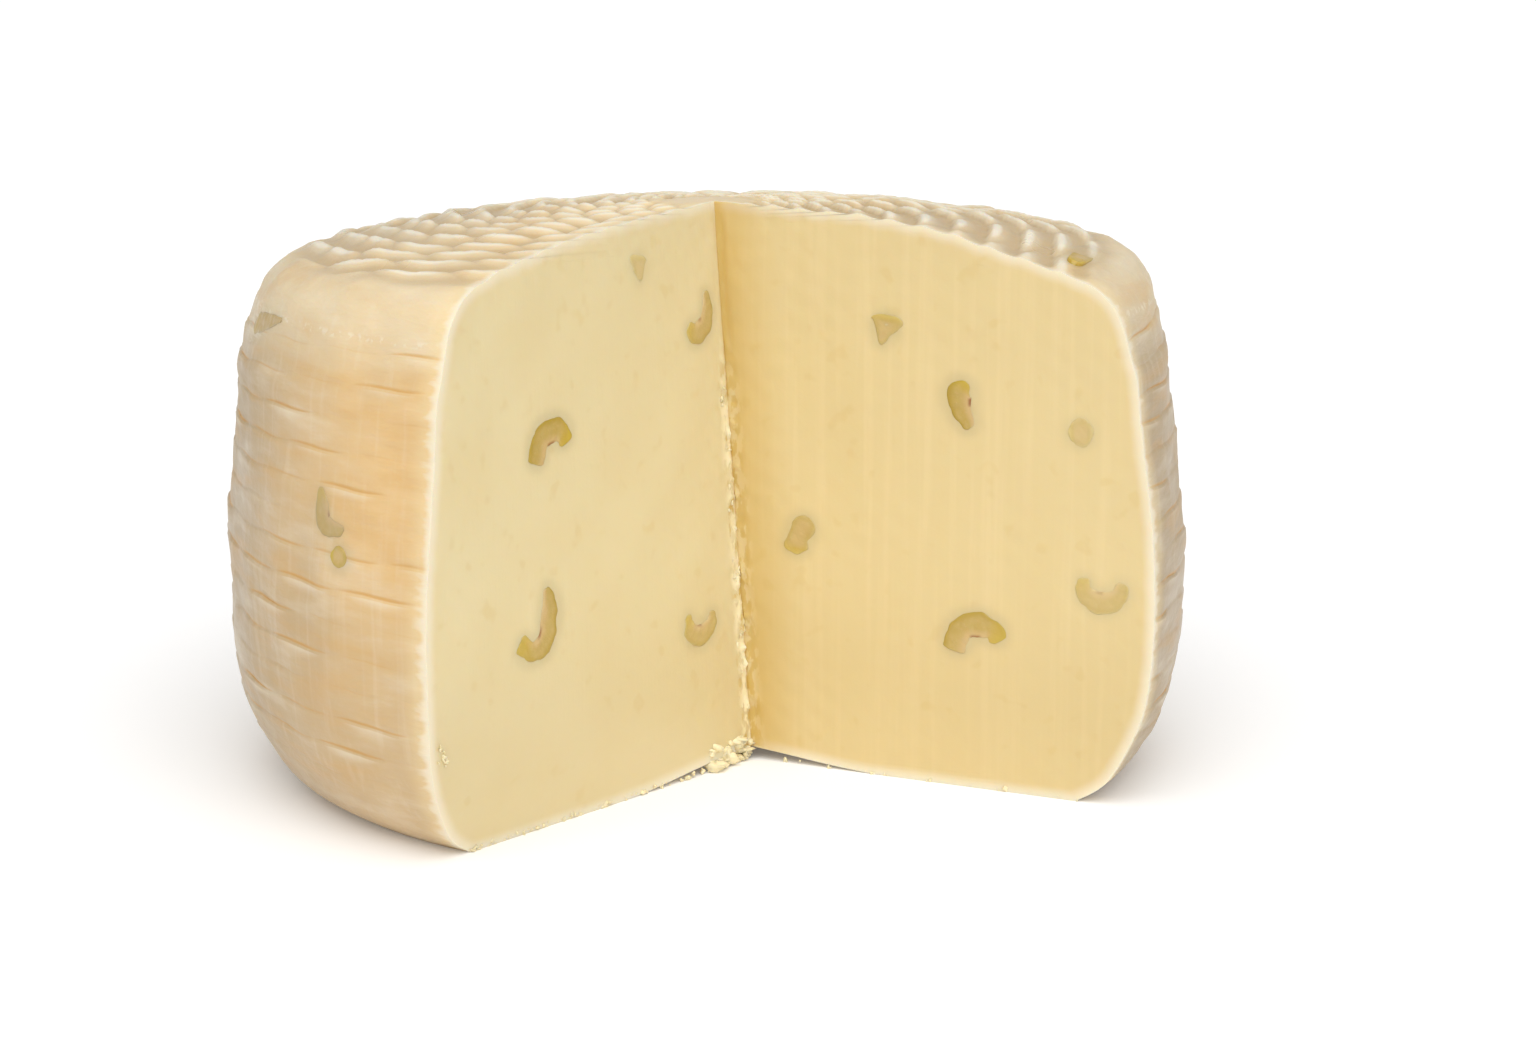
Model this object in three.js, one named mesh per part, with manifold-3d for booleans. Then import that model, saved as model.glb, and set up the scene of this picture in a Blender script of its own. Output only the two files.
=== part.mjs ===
// Wheel of semi-soft table cheese set with pieces of green olive, with one wedge cut out.
// Millimetres, +Z up. The wheel stands on its flat underside and the notch opens towards -Y.
// Azimuth is measured about the wheel's axis from -Y, positive towards +X, in degrees.

import * as THREE from 'three';
import { mergeVertices } from 'three/addons/utils/BufferGeometryUtils.js';
import Module from 'manifold-3d';

const wasm = await Module();
wasm.setup();

// Sizes of the whole wheel
const WHEEL_HEIGHT = 118;
const BELLY_RADIUS = 100;
const BELLY_HEIGHT = 48;
const FOOT_RADIUS = 84.3;
const SHOULDER_RADIUS = 87.4;
const SHOULDER_HEIGHT = 106.7;
const DISH_RADIUS = 45;
const DISH_DEPTH = 3.2;
const DISH_ROWS = 3;
const CROWN_RADIUS = 12;

// Lean of the hand-made wheel: the shoulder stands higher and further in towards one azimuth
const LEAN_RISE = 2.7;
const LEAN_PULL = 1.9;
const LEAN_AZIMUTH = 22.9;
const LEAN_START_HEIGHT = 30;

// Slump of the shoulder beside the right-hand cut
const SLUMP_DROP = 4.5;
const SLUMP_SPREAD = 0.8;
const SLUMP_AZIMUTH = 58;
const SLUMP_WIDTH = 18;
const SLUMP_START_HEIGHT = 70;
const SLUMP_RADII = [35, 85];

// Imprint of the woven basket in the rind: rows of strands, broken at upright stakes
const STRAND_PITCH = 6.2;
const STAKES = 28;
const COLUMNS_PER_CELL = 3;
const SIDE_GROOVE = 0.55;
const TOP_GROOVE = 1.0;
const STRAND_SWELL = 0.3;
const LEAST_STRENGTH = 0.55;
const SIDE_BAND = [14, 97];
const TOP_BAND = [16, 82];
const BAND_FADE = 6;
const WEAVE_SEED = 7;

// Notch: two cuts that meet in a line near the axis, the left one bent a little towards the foot
const LEFT_CUT_AZIMUTH = -31.6;
const LEFT_CUT_BEND = -2.85;
const LEFT_BEND_HEIGHT = 35;
const RIGHT_CUT_AZIMUTH = 62.1;
const APEX_TOP = new THREE.Vector3(1.5, -4.5, WHEEL_HEIGHT);
const APEX_BOTTOM = new THREE.Vector3(9.1, -8, 2.4);
const CUT_REACH = 1.9;
const CUT_OVERRUN = 12;
const CUT_STEPS = 16;
const CUT_SPLITS = 12;

// Olive pieces
const OLIVE_GAP = 0.3;
const OLIVE_DEPTH = 4.5;
const POCKET_MOUTH = 3;
const RIND_SINK = 0.4;
const STROKE_STEPS = 8;

// Shapes of olive: points along the middle line, each with half the width there, from the paler end on.
// A ring's hole lies on the left of its line, as seen from outside.
const STROKES = {
  arch: [[5.4, 1.3, 2.1], [4, 3.7, 2.4], [0.8, 4.4, 2.7], [-2.8, 3.2, 2.6], [-4.4, -1.6, 2.7]],
  crescent: [[-4.2, -3.4, 2.3], [-0.6, -5.8, 2.2], [3.6, -4.4, 2.6], [5.3, 1.4, 2.7], [4.4, 6.2, 0.8]],
  cup: [[-3.9, 2.9, 1.2], [-3, -0.8, 2.1], [0.3, -2.2, 2.5], [3.6, -0.6, 2], [4.3, 2.4, 1]],
  hook: [[-3.4, -1.2, 1.5], [-0.9, -3, 2.4], [2.6, -1.8, 2.5], [3.9, 1.8, 2], [3.2, 5, 0.8]],
  half: [[-0.6, 4.6, 0.9], [-2.3, 2.3, 2.7], [-2, -0.9, 2.4], [-0.7, -3.3, 1.7], [0.1, -5, 1.1]],
  tail: [[-1.9, 4.4, 0.7], [-1.4, 1.2, 2.2], [-0.2, -2.2, 2.3], [3.2, -2.9, 1.6], [6.2, -2.6, 0.6]],
  pair: [[-0.8, -4.9, 2], [-0.6, -3.2, 3], [0, -1.2, 2.5], [1.1, 0.9, 2.8], [1.9, 3.2, 1.4]],
  wedge: [[0.8, 1.9, 4.2], [0.6, 0.2, 3.4], [-0.1, -2, 1.7], [-0.6, -4.3, 0.6]],
  sliver: [[0, 2.6, 3.7], [-0.2, 0.6, 2.6], [0.2, -2.9, 0.6]],
  spike: [[-8.2, -1.2, 2.4], [-1, 0.1, 2.1], [9.5, 2.2, 0.4]],
  round: [[-2.7, -0.4, 1.5], [0, 0, 3.2], [2.7, 0.4, 1.6]],
  bean: [[-6.5, 0.4, 1.6], [2, 0.2, 2.4], [9.5, -0.4, 1.6]],
  dot: [[-2.2, 0.1, 1.3], [0.2, 0, 2.2], [2.6, 0, 1.3]],
};

const CHEESE_COLOUR = 0xe9d8a6;
const CHEESE_ROUGHNESS = 0.6;
const OLIVE_COLOUR = 0xa0924a;
const OLIVE_ROUGHNESS = 0.35;
const MERGE_DISTANCE = 1e-4;

const radians = THREE.MathUtils.degToRad;
const smooth = THREE.MathUtils.smoothstep;

// Point of the wheel at a radius, an azimuth in radians and a height
function aroundAxis(radius, azimuth, height) {
  return new THREE.Vector3(radius * Math.sin(azimuth), -radius * Math.cos(azimuth), height);
}

// Outline of the rind, as radius and height, from the foot over the belly and shoulder to the crown
const rindCurve = new THREE.SplineCurve([
  new THREE.Vector2(FOOT_RADIUS, 0),
  new THREE.Vector2(FOOT_RADIUS + 7.5, 6),
  new THREE.Vector2(BELLY_RADIUS - 1.3, 22),
  new THREE.Vector2(BELLY_RADIUS, BELLY_HEIGHT),
  new THREE.Vector2(BELLY_RADIUS - 2.8, 78),
  new THREE.Vector2(BELLY_RADIUS - 4.7, 91),
  new THREE.Vector2(SHOULDER_RADIUS, SHOULDER_HEIGHT),
  new THREE.Vector2(60, WHEEL_HEIGHT - 4.3),
  new THREE.Vector2(25, WHEEL_HEIGHT - 1.2),
  new THREE.Vector2(0, WHEEL_HEIGHT),
]);

// Underside from the axis out to the foot: a shallow dish inside a flat ring
function undersideOutline() {
  const points = [];
  for (let row = 0; row <= DISH_ROWS; row += 1) {
    const share = row / DISH_ROWS;
    const fall = Math.cos(share * Math.PI / 2) ** 2;
    points.push(new THREE.Vector2(share * DISH_RADIUS, DISH_DEPTH * fall));
  }
  return points;
}

// Rind from the foot to the crown, with a row of points on every strand and every groove
function rindOutline() {
  const rows = Math.round(rindCurve.getLength() / (STRAND_PITCH / 2));
  const points = rindCurve.getSpacedPoints(rows);
  const crown = points.pop();
  return [...points.filter((point) => point.x > CROWN_RADIUS), crown];
}

// Depth of the basket's imprint: full inside the side and top bands, none on the smooth edges
function grooveDepth(point) {
  const [sideLow, sideHigh] = SIDE_BAND;
  const [topInner, topOuter] = TOP_BAND;
  const onSide = smooth(point.y, sideLow - BAND_FADE, sideLow)
    * (1 - smooth(point.y, sideHigh, sideHigh + BAND_FADE));
  const onTop = smooth(point.x, topInner - BAND_FADE, topInner)
    * (1 - smooth(point.x, topOuter, topOuter + BAND_FADE))
    * smooth(point.y, SHOULDER_HEIGHT, SHOULDER_HEIGHT + BAND_FADE / 2);
  return SIDE_GROOVE * onSide + TOP_GROOVE * onTop;
}

// Strands swell and sink between the stakes, one row up in every second cell, as bricks are laid
function weaveRelief(row, column, point) {
  const cell = Math.floor(column / COLUMNS_PER_CELL);
  const swell = Math.sin(Math.PI * (column % COLUMNS_PER_CELL) / COLUMNS_PER_CELL);
  const chance = THREE.MathUtils.seededRandom(WEAVE_SEED + row * STAKES + cell);
  const strength = THREE.MathUtils.lerp(LEAST_STRENGTH, 1, chance) * grooveDepth(point) * swell;
  return (row + cell) % 2 === 0 ? STRAND_SWELL * strength : -strength;
}

// Difference between two azimuths in radians, by the shorter way round
function between(azimuth, other) {
  return THREE.MathUtils.euclideanModulo(azimuth - other + Math.PI, 2 * Math.PI) - Math.PI;
}

// Uneven shape: the shoulder leans towards one azimuth and slumps near another, the foot stays flat
function handmade(point, azimuth) {
  const towards = Math.cos(azimuth - radians(LEAN_AZIMUTH));
  const lean = towards * smooth(point.y, LEAN_START_HEIGHT, SHOULDER_HEIGHT) * point.x / SHOULDER_RADIUS;
  const aside = between(azimuth, radians(SLUMP_AZIMUTH)) / radians(SLUMP_WIDTH);
  const slump = Math.exp(-(aside ** 2))
    * smooth(point.y, SLUMP_START_HEIGHT, SHOULDER_HEIGHT) * smooth(point.x, ...SLUMP_RADII);
  return {
    rise: LEAN_RISE * lean - SLUMP_DROP * slump,
    pull: LEAN_PULL * lean - SLUMP_SPREAD * slump,
  };
}

// Whole wheel: a turned outline whose points are moved by the weave and by its uneven shape
function wheelGeometry() {
  const underside = undersideOutline();
  const outline = [...underside, ...rindOutline()];
  const columns = STAKES * COLUMNS_PER_CELL;
  const geometry = new THREE.LatheGeometry(outline, columns);
  const position = geometry.attributes.position;
  for (let vertex = 0; vertex < position.count; vertex += 1) {
    const row = vertex % outline.length;
    const column = Math.floor(vertex / outline.length) % columns;
    const point = outline[row];
    const before = outline[Math.max(row - 1, 0)];
    const after = outline[Math.min(row + 1, outline.length - 1)];
    const along = after.clone().sub(before).normalize();
    const relief = row > underside.length ? weaveRelief(row, column, point) : 0;
    const azimuth = column * 2 * Math.PI / columns;
    const { rise, pull } = handmade(point, azimuth);
    const radius = Math.max(point.x + along.y * relief - pull, 0);
    const place = aroundAxis(radius, azimuth, point.y - along.x * relief + rise);
    position.setXYZ(vertex, place.x, place.y, place.z);
  }
  return geometry;
}

// Line in which the two cuts meet, at a height
function apexAt(height) {
  const share = (height - APEX_BOTTOM.z) / (APEX_TOP.z - APEX_BOTTOM.z);
  const place = APEX_BOTTOM.clone().lerp(APEX_TOP, share);
  place.z = height;
  return place;
}

// Azimuth at which a cut leaves the rind: steady, but for the left cut's bend near the foot
function cutAzimuth(side, height) {
  if (side === 'right') {
    return RIGHT_CUT_AZIMUTH;
  }
  const below = Math.min(Math.max(1 - height / LEFT_BEND_HEIGHT, 0), 1);
  return LEFT_CUT_AZIMUTH + LEFT_CUT_BEND * below ** 2;
}

// Far end of a cut at a height: out from the apex through the rind and well past it
function cutEnd(side, height) {
  const rim = aroundAxis(BELLY_RADIUS, radians(cutAzimuth(side, height)), height);
  return apexAt(height).lerp(rim, CUT_REACH);
}

// Wedge to take out: a prism whose corners follow the apex line and the ends of the two cuts.
// Its left side is split along its length, because the bent cut there is a twisted surface.
function notchGeometry() {
  const corners = [new THREE.Vector2(0, 1)];
  for (let split = 0; split <= CUT_SPLITS; split += 1) {
    corners.push(new THREE.Vector2(split / CUT_SPLITS, 0));
  }
  const depth = WHEEL_HEIGHT + 2 * CUT_OVERRUN;
  const settings = { depth, steps: CUT_STEPS, bevelEnabled: false };
  const geometry = new THREE.ExtrudeGeometry(new THREE.Shape(corners), settings);
  const position = geometry.attributes.position;
  for (let vertex = 0; vertex < position.count; vertex += 1) {
    const leftShare = position.getX(vertex);
    const rightShare = position.getY(vertex);
    const height = position.getZ(vertex) - CUT_OVERRUN;
    const place = apexAt(height).multiplyScalar(1 - leftShare - rightShare);
    place.addScaledVector(cutEnd('left', height), leftShare);
    place.addScaledVector(cutEnd('right', height), rightShare);
    position.setXYZ(vertex, place.x, place.y, place.z);
  }
  return geometry;
}

// Point of a cut face, so far out from the apex line at a height
function facePoint(side, out, height) {
  const apex = apexAt(height);
  const away = cutEnd(side, height).sub(apex).normalize();
  return apex.addScaledVector(away, out);
}

// Frame on a cut face: X to the right as seen from outside, Y up, Z out of the face
function onFace(side, out, height) {
  const origin = facePoint(side, out, height);
  const away = cutEnd(side, height).sub(origin).normalize();
  const right = side === 'left' ? away.negate() : away;
  const above = facePoint(side, out, height + 1).sub(origin);
  const normal = right.clone().cross(above).normalize();
  const up = normal.clone().cross(right);
  return new THREE.Matrix4().makeBasis(right, up, normal).setPosition(origin);
}

// Frame on the rind at an azimuth and a share of the way from the foot to the crown
function onRind(degrees, share) {
  const azimuth = radians(degrees);
  const point = rindCurve.getPointAt(share);
  const along = rindCurve.getTangentAt(share);
  const { rise, pull } = handmade(point, azimuth);
  const right = aroundAxis(1, azimuth + Math.PI / 2, 0);
  const up = aroundAxis(along.x, azimuth, along.y);
  const normal = right.clone().cross(up);
  const origin = aroundAxis(point.x - pull, azimuth, point.y + rise);
  origin.addScaledVector(normal, -RIND_SINK);
  return new THREE.Matrix4().makeBasis(right, up, normal).setPosition(origin);
}

// Outline of a shape of olive, widened all round by a margin
function stroke(name) {
  const stations = STROKES[name];
  const path = new THREE.SplineCurve(stations.map(([across, up]) => new THREE.Vector2(across, up)));
  const widths = new THREE.SplineCurve(stations.map(([, , half]) => new THREE.Vector2(half, 0)));
  return (margin) => {
    const outer = [];
    const inner = [];
    for (let step = 0; step <= STROKE_STEPS; step += 1) {
      const share = step / STROKE_STEPS;
      const along = path.getTangent(share);
      const beyond = margin * (Number(step === STROKE_STEPS) - Number(step === 0));
      const middle = path.getPoint(share).addScaledVector(along, beyond);
      const aside = new THREE.Vector2(along.y, -along.x);
      aside.multiplyScalar(widths.getPoint(share).x + margin);
      outer.push(middle.clone().add(aside));
      inner.unshift(middle.clone().sub(aside));
    }
    return new THREE.Shape([...outer, ...inner]);
  };
}

// Every olive piece that shows: its name, where it sits and its outline in the surface there
const olives = [
  ['olive_left_1', onFace('left', 59.8, 75), stroke('arch')],
  ['olive_left_2', onFace('left', 67.2, 43.2), stroke('crescent')],
  ['olive_left_3', onFace('left', 14.7, 31.9), stroke('cup')],
  ['olive_left_4', onFace('left', 27.9, 107.6), stroke('sliver')],
  ['olive_left_5', onFace('left', 9, 95), stroke('hook')],
  ['olive_right_1', onFace('right', 36.3, 95), stroke('wedge')],
  ['olive_right_2', onFace('right', 54.1, 79.8), stroke('half')],
  ['olive_right_3', onFace('right', 77.4, 76), stroke('round')],
  ['olive_right_4', onFace('right', 14.3, 50.4), stroke('pair')],
  ['olive_right_5', onFace('right', 52, 30), stroke('arch')],
  ['olive_right_6', onFace('right', 80, 44), stroke('cup')],
  ['olive_rind_1', onRind(-68.6, 0.509), stroke('spike')],
  ['olive_rind_2', onRind(-47.5, 0.351), stroke('tail')],
  ['olive_rind_3', onRind(-44.9, 0.312), stroke('dot')],
  ['olive_rind_4', onRind(71.7, 0.604), stroke('bean')],
  ['olive_rind_5', onRind(112, 0.22), stroke('crescent')],
  ['olive_rind_6', onRind(152, 0.4), stroke('wedge')],
  ['olive_rind_7', onRind(-155, 0.17), stroke('arch')],
  ['olive_rind_8', onRind(-112, 0.36), stroke('round')],
  ['olive_rind_9', onRind(-165, 0.72), stroke('half')],
];

// Solid of an outline that runs from a depth below its surface up to a height above it
function sunkGeometry(frame, shape, depth, height) {
  const geometry = new THREE.ExtrudeGeometry(shape, { depth: depth + height, bevelEnabled: false });
  geometry.translate(0, 0, -depth);
  return geometry.applyMatrix4(frame);
}

function oliveGeometry(frame, outline) {
  return sunkGeometry(frame, outline(0), OLIVE_DEPTH, 0);
}

function pocketGeometry(frame, outline) {
  return sunkGeometry(frame, outline(OLIVE_GAP), OLIVE_DEPTH + OLIVE_GAP, POCKET_MOUTH);
}

// Closed solid for cutting, from a geometry whose shared corners are joined first
function toSolid(geometry) {
  geometry.deleteAttribute('normal');
  geometry.deleteAttribute('uv');
  const merged = mergeVertices(geometry, MERGE_DISTANCE);
  const corners = merged.index.array;
  const kept = [];
  for (let first = 0; first < corners.length; first += 3) {
    const [a, b, c] = corners.slice(first, first + 3);
    if (a !== b && b !== c && c !== a) {
      kept.push(a, b, c);
    }
  }
  const vertProperties = merged.attributes.position.array;
  const triVerts = new Uint32Array(kept);
  return new wasm.Manifold(new wasm.Mesh({ numProp: 3, vertProperties, triVerts }));
}

function toGeometry(solid) {
  const { vertProperties, triVerts } = solid.getMesh();
  const geometry = new THREE.BufferGeometry();
  geometry.setAttribute('position', new THREE.BufferAttribute(vertProperties, 3));
  geometry.setIndex(new THREE.BufferAttribute(triVerts, 1));
  geometry.computeVertexNormals();
  return geometry;
}

function namedMesh(name, geometry, color, roughness) {
  const material = new THREE.MeshStandardMaterial({ color, roughness, metalness: 0 });
  const mesh = new THREE.Mesh(geometry, material);
  mesh.name = name;
  return mesh;
}

// Body of the cheese: the wheel without its wedge and without a pocket for each olive piece
function cheeseBody() {
  let solid = toSolid(wheelGeometry()).subtract(toSolid(notchGeometry()));
  for (const [, frame, outline] of olives) {
    solid = solid.subtract(toSolid(pocketGeometry(frame, outline)));
  }
  return namedMesh('cheese_body', toGeometry(solid), CHEESE_COLOUR, CHEESE_ROUGHNESS);
}

const group = new THREE.Group();
group.add(cheeseBody());
for (const [name, frame, outline] of olives) {
  group.add(namedMesh(name, oliveGeometry(frame, outline), OLIVE_COLOUR, OLIVE_ROUGHNESS));
}

// The origin is under the middle of the wheel's box, on the surface that it stands on
const box = new THREE.Box3().setFromObject(group);
const middle = box.getCenter(new THREE.Vector3());
group.position.set(-middle.x, -middle.y, -box.min.z);

export default group;
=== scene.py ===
"""Wheel of table cheese set with green olives, one wedge cut out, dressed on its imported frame.

Metres, +Z up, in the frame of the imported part. The wheel's own sums are done about the wheel's axis,
with azimuth measured from -Y, positive towards +X, and moved into the frame when a mesh is made.
"""

import math

import bpy
import numpy as np
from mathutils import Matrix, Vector


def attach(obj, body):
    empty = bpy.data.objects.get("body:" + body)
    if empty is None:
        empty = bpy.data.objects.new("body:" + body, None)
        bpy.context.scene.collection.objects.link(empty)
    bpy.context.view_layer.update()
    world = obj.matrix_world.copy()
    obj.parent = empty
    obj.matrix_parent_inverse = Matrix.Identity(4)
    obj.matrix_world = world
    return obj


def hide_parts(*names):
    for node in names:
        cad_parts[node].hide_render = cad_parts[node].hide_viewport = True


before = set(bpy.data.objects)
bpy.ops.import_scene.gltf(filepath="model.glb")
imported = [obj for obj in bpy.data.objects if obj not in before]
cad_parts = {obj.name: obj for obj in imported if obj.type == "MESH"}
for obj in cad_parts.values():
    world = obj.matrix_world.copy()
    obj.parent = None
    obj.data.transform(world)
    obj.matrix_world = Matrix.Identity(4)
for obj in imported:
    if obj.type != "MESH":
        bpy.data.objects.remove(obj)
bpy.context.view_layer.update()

bl_info = {
    "name": "Cheese Wheel",
    "version": (1, 0, 0),
    "blender": (4, 5, 0),
    "location": "3D View > Sidebar > Cheese Wheel",
    "description": "Builds a cut wheel of olive cheese on its packed frame",
    "category": "Object",
}

MM = 0.001
TURN = 2 * math.pi
BODY = "root"

# Wheel, about its own axis
WHEEL_AXIS = np.array([0.05, -7.57, 0]) * MM
BELLY_RADIUS = 100 * MM
SHOULDER_RADIUS = 87.4 * MM
SHOULDER_HEIGHT = 106.7 * MM
DISH_RADIUS = 45 * MM
DISH_DEPTH = 3.2 * MM
RIND_OUTLINE = np.array([
    (84.3, 0), (91.8, 6), (98.7, 22), (100, 48), (97.2, 78),
    (95.3, 91), (87.4, 106.7), (60, 113.7), (25, 116.8), (0, 118),
]) * MM

# Uneven shape of the hand-made wheel
LEAN_RISE = 2.7 * MM
LEAN_PULL = 1.9 * MM
LEAN_AZIMUTH = math.radians(22.9)
LEAN_START = 30 * MM
SLUMP_DROP = 4.5 * MM
SLUMP_SPREAD = 0.8 * MM
SLUMP_AZIMUTH = math.radians(58)
SLUMP_WIDTH = math.radians(18)
SLUMP_START = 70 * MM
SLUMP_RADII = (35 * MM, 85 * MM)

# Two cuts that meet in a line near the axis
LEFT_CUT = math.radians(-31.6)
LEFT_BEND = math.radians(-2.85)
LEFT_BEND_HEIGHT = 35 * MM
RIGHT_CUT = math.radians(62.1)
RIND_SPAN = TURN - RIGHT_CUT + LEFT_CUT
CUT_ROUNDS = 4
APEX_TOP = np.array([1.5, -4.5, 118]) * MM
APEX_BOTTOM = np.array([9.1, -8, 2.4]) * MM

# Basket imprint
SIDE_STRANDS = 18
SIDE_STAKES = 28
SIDE_PITCH = 6.2 * MM
SIDE_SLOPE = 0.08
SIDE_BAND = (14 * MM, 97 * MM)
STRAND_STEPS = np.array([0, 0.05, 0.11, 0.2, 0.34, 0.52, 0.72, 0.88, 0.95])
LINE_TOP = 0.075
LINE_FOOT = 0.04
LINE_SHIFT = 0.15
DASH_FAINTEST = 0.3
DASH_CONTRAST = 1.5
LAP_EDGE = 0.11
LAP_FAINTEST = 0.25
SIDE_LEVEL = 0.5
TOP_LEAVES = 25
TOP_PITCH = 7.2 * MM
TOP_SLANT = 0.2
TOP_STAGGER = 0.06
TOP_TWIST = 0.55
TOP_JITTER = 0.1
TOP_BAND = (14 * MM, 80 * MM)
TOP_LEVEL = 0.8
LEAF_LEAN = 2.6
LEAF_ROUNDING = 1.7
LEAF_ENDS = 3
LEAF_DIP = 0.7
BAND_FADE = 7 * MM
CUT_FADE = 6 * MM
CUT_STRENGTH = 0.3
BOLD_FROM = (28 * MM, 58 * MM)
FAINT_STRENGTH = 0.2
# Reach of the warm rind from the left cut; beyond it the rind is painted in shade, darker and greyer
WARM_LIT_REACH = (12 * MM, 75 * MM)
WEAVE_SEED = 7

# Unevenness: its amount, the length of its waves and a seed, and where it starts
WAVES = 14
WAVE_SPREAD = (0.6, 1.5)
WAVE_SCALE = math.sqrt(1.2 / WAVES)
TOP_WANDER = (0.12, 40 * MM, 8)
RIND_LUMPS = (0.25 * MM, 22 * MM, 3)
RIND_GRAIN = (0.1 * MM, 7 * MM, 4)
LUMPS_ABOVE = (3 * MM, 12 * MM)
LUMPS_BEYOND = (8 * MM, 30 * MM)
FACE_WAVES = (0.16 * MM, 26 * MM, 21)
FACE_GRAIN = (0.05 * MM, 5 * MM, 22)
FACE_EDGE_FADE = 3 * MM
FACE_APEX_FADE = 2 * MM

# Torn paste along the apex and the groove beside it
TEAR_FINE = (1, 2 * MM, 11)
TEAR_COARSE = (0.7, 6 * MM, 12)
TEAR_FOOT = (4 * MM, 14 * MM)
TEAR_HEAD = (78 * MM, 96 * MM)
TEAR_START = 0.6 * MM
TEAR_REACH = {"left": 2.4 * MM, "right": 1.5 * MM}
CORNER_PLACE = 1.3 * MM
CORNER_WIDTH = 0.9 * MM
CORNER_FADE = 6 * MM
CORNER_SHARE = 0.7

# Grid of the wheel's surface
UNDER_ROWS = 14
SIDE_ROWS = SIDE_STRANDS * len(STRAND_STEPS)
TOP_ROWS = 120
RIND_COLUMNS = 214
FACE_COLUMNS = 60
APEX_SHARES = (0, 0.07, 0.91, 1)
FINE_STEPS = 3000
EDGE_STEPS = 600
EVEN_SHARE = 0.35
FAR_AWAY = 90.0
SHARP_ANGLE = math.radians(55)

# Shapes of olive in mm: points along the middle line, each with half the width there, from the paler end
# on. A ring's hole lies on the left of its line, as seen from outside.
RING_STROKES = {
    "arch": ((5.4, 1.3, 2.1), (4, 3.7, 2.4), (0.8, 4.4, 2.7), (-2.8, 3.2, 2.6), (-4.4, -1.6, 2.7)),
    "crescent": ((-4.2, -3.4, 2.3), (-0.6, -5.8, 2.2), (3.6, -4.4, 2.6), (5.3, 1.4, 2.7), (4.4, 6.2, 0.8)),
    "cup": ((-3.9, 2.9, 1.2), (-3, -0.8, 2.1), (0.3, -2.2, 2.5), (3.6, -0.6, 2), (4.3, 2.4, 1)),
    "hook": ((-3.4, -1.2, 1.5), (-0.9, -3, 2.4), (2.6, -1.8, 2.5), (3.9, 1.8, 2), (3.2, 5, 0.8)),
    "half": ((-0.6, 4.6, 0.9), (-2.3, 2.3, 2.7), (-2, -0.9, 2.4), (-0.7, -3.3, 1.7), (0.1, -5, 1.1)),
    "tail": ((-1.9, 4.4, 0.7), (-1.4, 1.2, 2.2), (-0.2, -2.2, 2.3), (3.2, -2.9, 1.6), (6.2, -2.6, 0.6)),
}
BIT_STROKES = {
    "pair": ((-0.8, -4.9, 2), (-0.6, -3.2, 3), (0, -1.2, 2.5), (1.1, 0.9, 2.8), (1.9, 3.2, 1.4)),
    "wedge": ((0.8, 1.9, 4.2), (0.6, 0.2, 3.4), (-0.1, -2, 1.7), (-0.6, -4.3, 0.6)),
    "sliver": ((0, 2.6, 3.7), (-0.2, 0.6, 2.6), (0.2, -2.9, 0.6)),
    "spike": ((-8.2, -1.2, 2.4), (-1, 0.1, 2.1), (9.5, 2.2, 0.4)),
    "round": ((-2.7, -0.4, 1.5), (0, 0, 3.2), (2.7, 0.4, 1.6)),
    "bean": ((-6.5, 0.4, 1.6), (2, 0.2, 2.4), (9.5, -0.4, 1.6)),
    "dot": ((-2.2, 0.1, 1.3), (0.2, 0, 2.2), (2.6, 0, 1.3)),
}
STROKES = {**RING_STROKES, **BIT_STROKES}

# Olive pieces: node, where it sits, its shape and how much cheese veils it. A place is a cut with the
# distance out and the height in mm, or the rind with an azimuth in degrees and the share of the way from
# the foot to the crown.
OLIVES = (
    ("olive_left_1", ("left", 59.8, 75), "arch", 0.0),
    ("olive_left_2", ("left", 67.2, 43.2), "crescent", 0.05),
    ("olive_left_3", ("left", 14.7, 31.9), "cup", 0.22),
    ("olive_left_4", ("left", 27.9, 107.6), "sliver", 0.4),
    ("olive_left_5", ("left", 9, 95), "hook", 0.2),
    ("olive_right_1", ("right", 36.3, 95), "wedge", 0.2),
    ("olive_right_2", ("right", 54.1, 79.8), "half", 0.0),
    ("olive_right_3", ("right", 77.4, 76), "round", 0.42),
    ("olive_right_4", ("right", 14.3, 50.4), "pair", 0.15),
    ("olive_right_5", ("right", 52, 30), "arch", 0.05),
    ("olive_right_6", ("right", 80, 44), "cup", 0.4),
    ("olive_rind_1", ("rind", -68.6, 0.509), "spike", 0.5),
    ("olive_rind_2", ("rind", -47.5, 0.351), "tail", 0.4),
    ("olive_rind_3", ("rind", -44.9, 0.312), "dot", 0.0),
    ("olive_rind_4", ("rind", 71.7, 0.604), "bean", 0.05),
    ("olive_rind_5", ("rind", 112, 0.22), "crescent", 0.35),
    ("olive_rind_6", ("rind", 152, 0.4), "wedge", 0.45),
    ("olive_rind_7", ("rind", -155, 0.17), "arch", 0.3),
    ("olive_rind_8", ("rind", -112, 0.36), "round", 0.4),
    ("olive_rind_9", ("rind", -165, 0.72), "half", 0.25),
)
OLIVE_DEPTH = 4.5 * MM
OLIVE_ROWS = 64
OLIVE_COLUMNS = 36
OLIVE_REACH = 18 * MM
END_ROUNDING = 0.8 * MM
SHARPNESS = 12
OLIVE_EDGE = (0.035, 4 * MM)
OLIVE_FACE = (0.05 * MM, 2.2 * MM)
OLIVE_SEED = 40
SEEDS_EACH = 3
BIT_MIDDLE = 0.3
BIT_EDGE = 0.8
HALO_STEPS = 24
HALO_WIDTH = 1.8 * MM
HALO_DEPTH = 0.6
HALO_CLEARED = 1.2

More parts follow.
